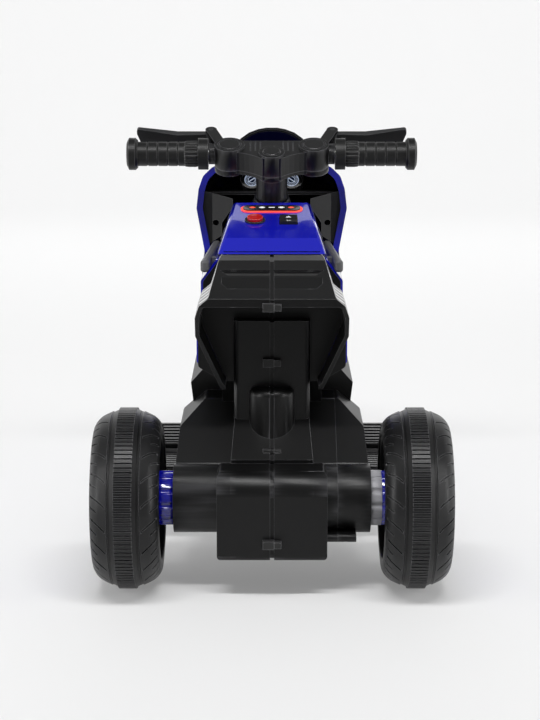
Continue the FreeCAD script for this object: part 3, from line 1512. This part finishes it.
def bearings():
    """The bushes that the stem turns in, and the stepped collar that covers the upper one."""
    bore = size.stem_diameter / 2 + size.running_gap
    outer = bush_diameter / 2 - size.running_gap
    flange = size.head_tube_diameter / 2
    low = size.head_tube_foot
    lower = turned("lower_bush", [(bore, low - size.bush_flange), (flange, low - size.bush_flange),
                                  (flange, low),
                                  (outer, low), (outer, low + size.bush_length),
                                  (bore, low + size.bush_length)])
    high = size.collar_level
    upper = turned("upper_bush", [(bore, high - size.bush_length), (outer, high - size.bush_length),
                                  (outer, high),
                                  (bore, high)])
    node("steering_bushes", fuse("bush_pair", steered(lower), steered(upper)))
    rim = size.collar_diameter / 2
    step = size.column_diameter / 2 + size.wall
    collar = turned("collar_turning", [
        (outer, high), (rim, high), (rim, high + size.collar_height / 2),
        (step, high + size.collar_height / 2),
        (step, high + size.collar_height), (outer, high + size.collar_height)])
    node("steering_collar", steered(collar))


def cover_form():
    """The handlebar cover: two round pods, a boss nearer the rider, a bridge, and arms along the bar."""
    tip = float(size.boss_setback + size.boss_diameter / 2 - size.wall - size.bridge_half_depth)
    half = [(size.pod_offset, size.bridge_half_depth), (size.pod_offset, -size.bridge_half_depth)]
    for share in BRIDGE_SWEEP_SHARES:
        across = size.pod_offset * (1 - share) + size.boss_diameter / 2 * share * BOSS_EDGE_SHARE
        half.append((across, -size.bridge_half_depth - tip * share * share))
    form = prism(mirrored_outline(half), "XY", size.pod_bottom + size.wall, size.pod_top - size.wall)
    pieces = [round_bar(size.boss_diameter, size.pod_bottom, size.pod_top, 0, -size.boss_setback)]
    for side in (-1, 1):
        pieces.append(round_bar(size.pod_diameter, size.pod_bottom, size.pod_top, size.pod_offset * side))
        ends = sorted([float(size.pod_offset) * side, float(size.cover_half_width) * side])
        pieces.append(cross_bar(size.bar_diameter * 2 - size.wall, ends[0], ends[1], size.bar_reach,
                                size.bar_level))
    pieces.append(round_bar(size.column_diameter, size.collar_level + size.collar_height + size.moving_gap,
                            size.bar_level))
    return form.fuse(pieces)


def lever_lug(side, low, high):
    """One cheek of the fork that holds a brake lever's pin."""
    near, far = size.pod_offset, size.lever_pivot_offset
    eye = size.lever_knuckle_diameter / 2
    root = near + size.pod_diameter / 2 - size.wall
    outline = [(root - eye * 2, 0), (root, 0), (far + eye, lever_y), (far - eye, lever_y)]
    arm = prism([(x * side, y) for x, y in outline], "XY", low, high)
    return arm.fuse(round_bar(size.lever_knuckle_diameter, low, high, far * side, lever_y))


def button_pockets():
    depth = size.pod_top + size.pod_button_raise - size.pod_button_height - size.pod_button_travel
    pockets = []
    for side in (-1, 1):
        across = size.pod_offset * side
        pockets.append(round_bar(size.pod_button_diameter + size.running_gap * 2, depth - size.moving_gap,
                                 size.pod_top + size.wall, across))
        pockets.append(round_bar(size.pod_button_diameter + size.pod_ring_width * 2,
                                 size.pod_top - size.pod_ring_width, size.pod_top + size.wall, across))
    return pockets


def handlebar():
    form = cover_form()
    clear = size.moving_gap
    for side in (-1, 1):
        upper = lever_lug(side, lever_high + clear, lever_high + clear + size.lever_cheek)
        lower = lever_lug(side, lever_low - clear - size.lever_cheek, lever_low - clear)
        form = form.fuse([upper, lower])
        knuckle = round_bar(size.lever_knuckle_diameter + size.wall * 2, lever_low - clear,
                            lever_high + clear,
                            size.lever_pivot_offset * side, lever_y)
        form = form.cut(knuckle)
    inner = size.pod_offset - size.pod_diameter / 2
    groove = [box_between(inner * share - size.bead_depth / 2, inner * share + size.bead_depth / 2,
                          -size.bridge_half_depth + size.wall, size.bridge_half_depth - size.wall,
                          size.pod_top - size.wall - size.bead_depth, size.pod_top)
              for share in BRIDGE_GROOVE_SHARES]
    cap_pocket = round_bar(size.center_cap_diameter + size.seat_gap * 2,
                           size.pod_top - size.center_cap_raise,
                           size.pod_top + size.wall, 0, -size.boss_setback)
    pins = [round_bar(pin_bore, size.pod_bottom, size.pod_top + FAR, size.lever_pivot_offset * side,
                      lever_y)
            for side in (-1, 1)]
    bar_hole = cross_bar(bar_bore, -FAR, FAR, size.bar_reach, size.bar_level)
    stem_hole = round_bar(size.stem_diameter + size.running_gap * 2, 0, cover_split)
    form = form.cut(groove + button_pockets() + [cap_pocket, bar_hole, stem_hole] + pins)
    upper = form.common(box_between(-FAR, FAR, -FAR, FAR, cover_split, FAR))
    lower = form.common(box_between(-FAR, FAR, -FAR, FAR, 0, cover_split))
    node("handlebar_cover_upper", steered_moulding("CoverUpper", upper))
    node("handlebar_cover_lower", steered_moulding("CoverLower", lower.removeSplitter()))

    bar = rod("bar_tube", size.bar_diameter, size.bar_half_width * 2)
    node("handlebar_tube", steered(bar, -size.bar_half_width, size.bar_reach, size.bar_level, "X"))
    cap = turned("cap_turning", [(0, 0), (size.center_cap_diameter / 2, 0),
                                 (size.center_cap_diameter / 2, size.center_cap_raise),
                                 (size.center_cap_diameter / 2 - size.center_cap_raise,
                                  size.center_cap_raise * 2),
                                 (0, size.center_cap_raise * 2)])
    node("center_cap", steered(cap, 0, -size.boss_setback, size.pod_top - size.center_cap_raise))
    for name, side in (("horn_button", -1), ("music_button", 1)):
        edge = size.pod_button_diameter / 2
        high = size.pod_button_height
        disc_body = turned(name + "_turning", [(0, 0), (edge, 0), (edge, high - size.bead_depth),
                                               (edge - size.bead_depth, high), (0, high)])
        node(name, steered(disc_body, size.pod_offset * side, 0,
                           size.pod_top + size.pod_button_raise - high))


BRIDGE_GROOVE_SHARES = (-0.78, -0.6, -0.42, 0.42, 0.6, 0.78)
BRIDGE_SWEEP_SHARES = (0.3, 0.45, 0.6, 0.75, 0.88, 1.0)
BOSS_EDGE_SHARE = 0.72


def grips_and_levers():
    bore = bar_bore / 2
    start, stop = size.grip_inner, size.grip_outer
    thin, groove = size.grip_diameter / 2, size.grip_diameter / 2 - size.grip_groove
    collar_end = start + size.grip_collar_width
    flange = stop - size.grip_end_width
    ring_count = int(float(size.grip_ring_count))
    pitch = (flange - collar_end) / (ring_count + 1)
    outline = [(bore, start), (size.grip_collar_diameter / 2, start),
               (size.grip_collar_diameter / 2, collar_end),
               (thin, collar_end)]
    for i in range(ring_count):
        middle = collar_end + pitch * (i + 1)
        outline += [(thin, middle - size.grip_groove), (groove, middle), (thin, middle + size.grip_groove)]
    rim = size.grip_end_diameter / 2
    outline += [(thin, flange), (rim - size.corner_radius / 2, flange),
                (rim, flange + size.corner_radius / 2),
                (rim, stop - size.corner_radius / 2), (rim - size.corner_radius, stop), (0, stop),
                (0, size.bar_half_width + size.moving_gap), (bore, size.bar_half_width + size.moving_gap)]
    for name, axis in (("grip_left", "-X"), ("grip_right", "X")):
        node(name, steered(turned(name + "_turning", outline), 0, size.bar_reach, size.bar_level, axis))

    pins = []
    for label, side in (("left", -1), ("right", 1)):
        node("brake_lever_" + label, steered_moulding("Lever" + label.title(), lever(side)))
        low = lever_low - size.moving_gap - size.lever_cheek
        reach = lever_high - lever_low + (size.moving_gap + size.lever_cheek) * 2
        pin = rod("lever_pin_" + label, size.lever_pin_diameter, reach)
        pins.append(steered(pin, size.lever_pivot_offset * side, lever_y, low))
    node("lever_pins", fuse("lever_pin_pair", *pins))


def lever(side):
    """A brake lever: a tall blade with a rising tip, on a knuckle round its pin."""
    pivot = size.lever_pivot_offset
    tip = pivot + size.lever_length
    bend = pivot + size.lever_length * LEVER_BEND_SHARE
    half = size.lever_thickness / 2
    plan = [(pivot, lever_y - half), (bend, lever_y - half - size.lever_sweep / 2), (tip, lever_y - half),
            (tip, lever_y + half / 2), (bend, lever_y + half), (pivot, lever_y + half)]
    blade = prism([(x * side, y) for x, y in plan], "XY", lever_low, lever_high + size.lever_rise)
    face = [(pivot, lever_low), (bend, lever_low + size.wall), (tip - size.corner_radius, lever_low
                                                               + size.lever_rise), (tip, lever_high),
            (tip, lever_high + size.lever_rise), (bend, lever_high), (pivot, lever_high)]
    blade = blade.common(prism([(x * side, z) for x, z in face], "XZ", -FAR, FAR, 0, size.wall))
    knuckle = round_bar(size.lever_knuckle_diameter, lever_low, lever_high, pivot * side, lever_y)
    eye = round_bar(pin_bore, lever_low - size.wall, lever_high + size.wall, pivot * side, lever_y)
    return blade.fuse(knuckle).cut(eye).removeSplitter()


LEVER_BEND_SHARE = 0.45


# Footrests: a ribbed tread fixed to each flank, with a plate raised over its front part.
plate_rear_y = -size.pedal_length / 2
pedal_pin_z = size.footrest_height + size.pedal_pin_height
plate_inner = size.footrest_inner + size.pedal_cheek * 2
plate_outer = size.footrest_outer - size.pedal_cheek * 2


def crossways(diameter, side, near, far, y, z):
    """A cylinder across the bike on one side of it."""
    ends = sorted([float(near) * side, float(far) * side])
    foot = Vector(ends[0], float(y), float(z))
    return Part.makeCylinder(float(diameter) / 2, ends[1] - ends[0], foot, Vector(1, 0, 0))


def side_box(side, near, far, y_low, y_high, z_low, z_high):
    ends = sorted([float(near) * side, float(far) * side])
    return box_between(ends[0], ends[1], y_low, y_high, z_low, z_high)


RIB_START_SHARE = 0.5
RIB_STOP_SHARE = 4
CHEEK_INSET_SHARE = 1.5
PLATE_RIB_SHARE = 0.7


def tread(side):
    rear = -size.footrest_rear_reach + size.moving_gap
    top = size.footrest_height
    base = side_box(side, size.waist_half_width, size.footrest_outer, rear, rear + size.footrest_length,
                    top - size.footrest_thickness, top)
    base = softened(base, size.corner_radius,
                    lambda edge: abs(edge.tangentAt(edge.FirstParameter).z) > ACROSS_SHARE
                    and abs(edge.CenterOfMass.x) > float(size.footrest_outer) - float(size.wall))
    base = base.cut(flank_volume(0.0))
    count = int(float(size.footrest_rib_count))
    room = (plate_rear_y - size.footrest_rib_width * RIB_STOP_SHARE) - rear
    for i in range(count):
        start = rear + room * (i + RIB_START_SHARE) / count
        base = base.fuse(side_box(side, size.flank_half_width, size.footrest_outer - size.corner_radius,
                                  start,
                                  start + size.footrest_rib_width, top, top + size.footrest_rib_height))
    for near in (size.footrest_inner + size.pedal_cheek / 2,
                 size.footrest_outer - size.pedal_cheek * CHEEK_INSET_SHARE):
        cheek = side_box(side, near, near + size.pedal_cheek,
                         plate_rear_y - size.pedal_knuckle_diameter / 2,
                         plate_rear_y + size.pedal_knuckle_diameter / 2, top, pedal_pin_z)
        eye = crossways(size.pedal_knuckle_diameter, side, near, near + size.pedal_cheek, plate_rear_y,
                        pedal_pin_z)
        base = base.fuse([cheek, eye])
    bore = size.pedal_pin_diameter + size.running_gap * 2
    return base.cut(crossways(bore, side, size.footrest_inner, size.footrest_outer, plate_rear_y,
                              pedal_pin_z))


def foot_plate(side):
    """The raised plate: hinged at its rear end and sloping up towards the front."""
    thick = size.pedal_thickness
    plate = side_box(side, plate_inner, plate_outer, 0, size.pedal_length, 0, thick)
    plate = softened(plate, size.corner_radius,
                     lambda edge: abs(edge.tangentAt(edge.FirstParameter).z) > ACROSS_SHARE
                     and edge.CenterOfMass.y > float(size.wall))
    count = int(float(size.pedal_rib_count))
    for i in range(count):
        start = size.pedal_length * (i + PLATE_RIB_SHARE) / (count + PLATE_RIB_SHARE)
        plate = plate.fuse(side_box(side, plate_inner + size.corner_radius,
                                    plate_outer - size.corner_radius, start,
                                    start + size.footrest_rib_width, thick,
                                    thick + size.footrest_rib_height))
    plate.Placement = Placement(Vector(0, float(plate_rear_y), float(pedal_pin_z - thick / 2)),
                                Rotation(Vector(1, 0, 0), float(size.pedal_slope)))
    knuckle = crossways(size.pedal_knuckle_diameter, side, plate_inner, plate_outer, plate_rear_y,
                        pedal_pin_z)
    bore = crossways(size.pedal_pin_diameter + size.running_gap * 2, side, size.footrest_inner,
                     size.footrest_outer,
                     plate_rear_y, pedal_pin_z)
    return plate.fuse(knuckle).cut(bore).removeSplitter()


def footrests():
    for label, side in (("left", -1), ("right", 1)):
        node("footrest_" + label, moulded("Tread" + label.title(), tread(side).removeSplitter()))
    node("foot_plate_left", moulded("PlateLeft", foot_plate(-1)))
    node("accelerator_pedal", moulded("PlateRight", foot_plate(1)))
    start = size.footrest_inner + size.pedal_cheek / 2
    stop = size.footrest_outer - size.pedal_cheek / 2
    pins = [rod("pedal_pin_" + label, size.pedal_pin_diameter, stop - start, start, plate_rear_y,
                pedal_pin_z, axis)
            for label, axis in (("right", "X"),)]
    pins.append(rod("pedal_pin_left", size.pedal_pin_diameter, stop - start, -start, plate_rear_y,
                    pedal_pin_z, "-X"))
    node("foot_plate_pins", fuse("pin_pair", *pins))


def drive_parts():
    """Motor, gearbox, battery and control board inside the body."""
    face = size.side_drum_half_width - size.coupler_sleeve_length
    low_y = rear_axle_y - size.gearbox_length / 2
    low_z = rear_axle_z - size.gearbox_height / 2
    case = block("gearbox_block", size.gearbox_width, size.gearbox_length, size.gearbox_height,
                 face - size.gearbox_width, low_y, low_z)
    bore = rod("gearbox_bore", axle_bore, size.gearbox_width + size.cut_overrun * 2,
               face - size.gearbox_width - size.cut_overrun, rear_axle_y, rear_axle_z, "X")
    floor_z = rear_axle_z - size.drum_below_axle + size.wall
    foot = block("gearbox_foot", size.gearbox_width / 2, size.gearbox_length / 2, low_z - floor_z,
                 face - size.gearbox_width / 2 - size.corner_radius, rear_axle_y - size.gearbox_length / 4,
                 floor_z)
    node("gearbox_case", cut("gearbox_bored", fuse("gearbox_on_foot", case, foot), bore))
    motor_y = rear_axle_y + size.motor_offset
    motor_z = rear_axle_z - size.motor_drop
    can = rod("motor_can", size.motor_diameter, size.motor_length,
              face - size.gearbox_width - size.motor_length,
              motor_y, motor_z, "X")
    tail = rod("motor_shaft", size.motor_shaft_diameter, size.wall * 2,
               face - size.gearbox_width - size.motor_length - size.wall, motor_y, motor_z, "X")
    node("drive_motor", fuse("motor_whole", can, tail))
    floor = size.flank_floor_height + size.wall
    node("battery", block("battery_block", size.battery_width, size.battery_length, size.battery_height,
                          -size.battery_width / 2, battery_rear_y, floor))
    board_y = battery_rear_y + size.battery_length + size.bead_width
    node("control_board", block("board_block", size.board_width, size.board_length, size.board_thickness,
                                -size.board_width / 2, board_y, floor))


rear_wheels()
rear_axle()
body()
node("body_screws", fuse("seam_screws", *body_screws()))
seat()
dashboard()
fairings()
side_rails()
cowl()
windscreen()
front_fork()
front_wheel_group()
bearings()
handlebar()
grips_and_levers()
footrests()
drive_parts()

doc.recompute()
for thing in doc.Objects:
    if "Invalid" in thing.State or "Error" in thing.State:
        raise RuntimeError(f"{thing.Name} did not recompute: {thing.State}")
os.makedirs("parts", exist_ok=True)
for name, piece in nodes.items():
    if piece.Shape.isNull() or not piece.Shape.isValid():
        raise RuntimeError(f"{name} has no valid shape")
    piece.Shape.exportStep(f"parts/{name}.step")
print(f"{len(nodes)} sub-parts written")
